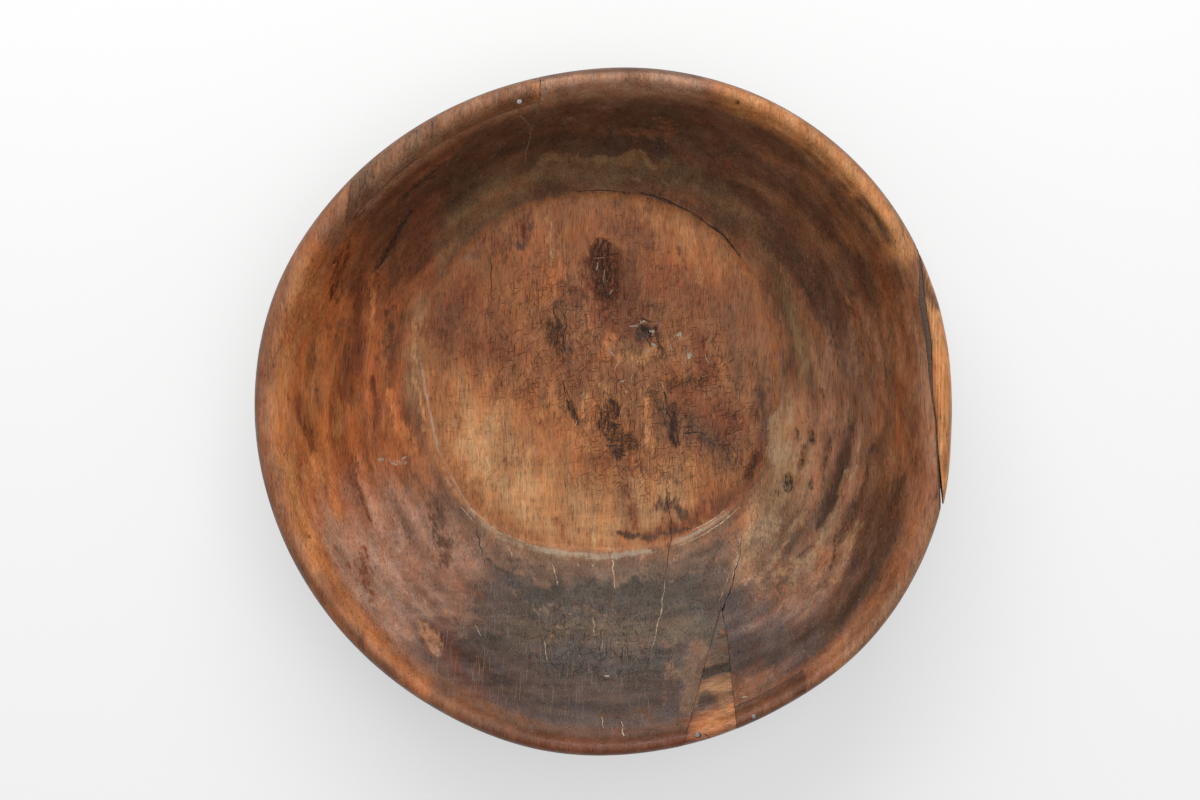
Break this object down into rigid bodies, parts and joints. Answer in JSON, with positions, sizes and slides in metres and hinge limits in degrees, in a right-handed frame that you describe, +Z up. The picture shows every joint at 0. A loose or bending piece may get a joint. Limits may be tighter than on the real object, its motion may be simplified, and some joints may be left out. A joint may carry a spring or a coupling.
{
  "type": "dough bowl",
  "caption": "Round hand-carved wooden dough bowl with a flat foot, an uneven rim, and old repairs let into the rim and held by nails.",
  "frame": {"origin": "centre of the bowl's outline, on the surface that the foot rests on", "axes": "+Z up out of the bowl's mouth, +Y along the grain towards the side that the floor is carved nearer to, +X across the grain towards the refixed rim segment"},
  "size_m": [0.5234, 0.517, 0.1223],
  "materials": {
    "bowl_wood": "worn, oiled",
    "segment_wood": "worn, oiled",
    "pitch": "dull and gritty",
    "wedge_wood": "worn, oiled",
    "red_strip_wood": "worn, oiled",
    "grey_strip_wood": "worn, dry",
    "nail_iron": "worn grey iron"
  },
  "bodies": {
    "root": {"bowl_body": "bowl_wood", "rim_segment": "segment_wood", "pitch_seam": "pitch", "crack_wedge": "wedge_wood", "lower_rim_strip": "red_strip_wood", "upper_rim_strip": "grey_strip_wood", "wedge_nail": "nail_iron", "lower_strip_nail": "nail_iron", "upper_strip_nail": "nail_iron"}
  },
  "joints": []
}
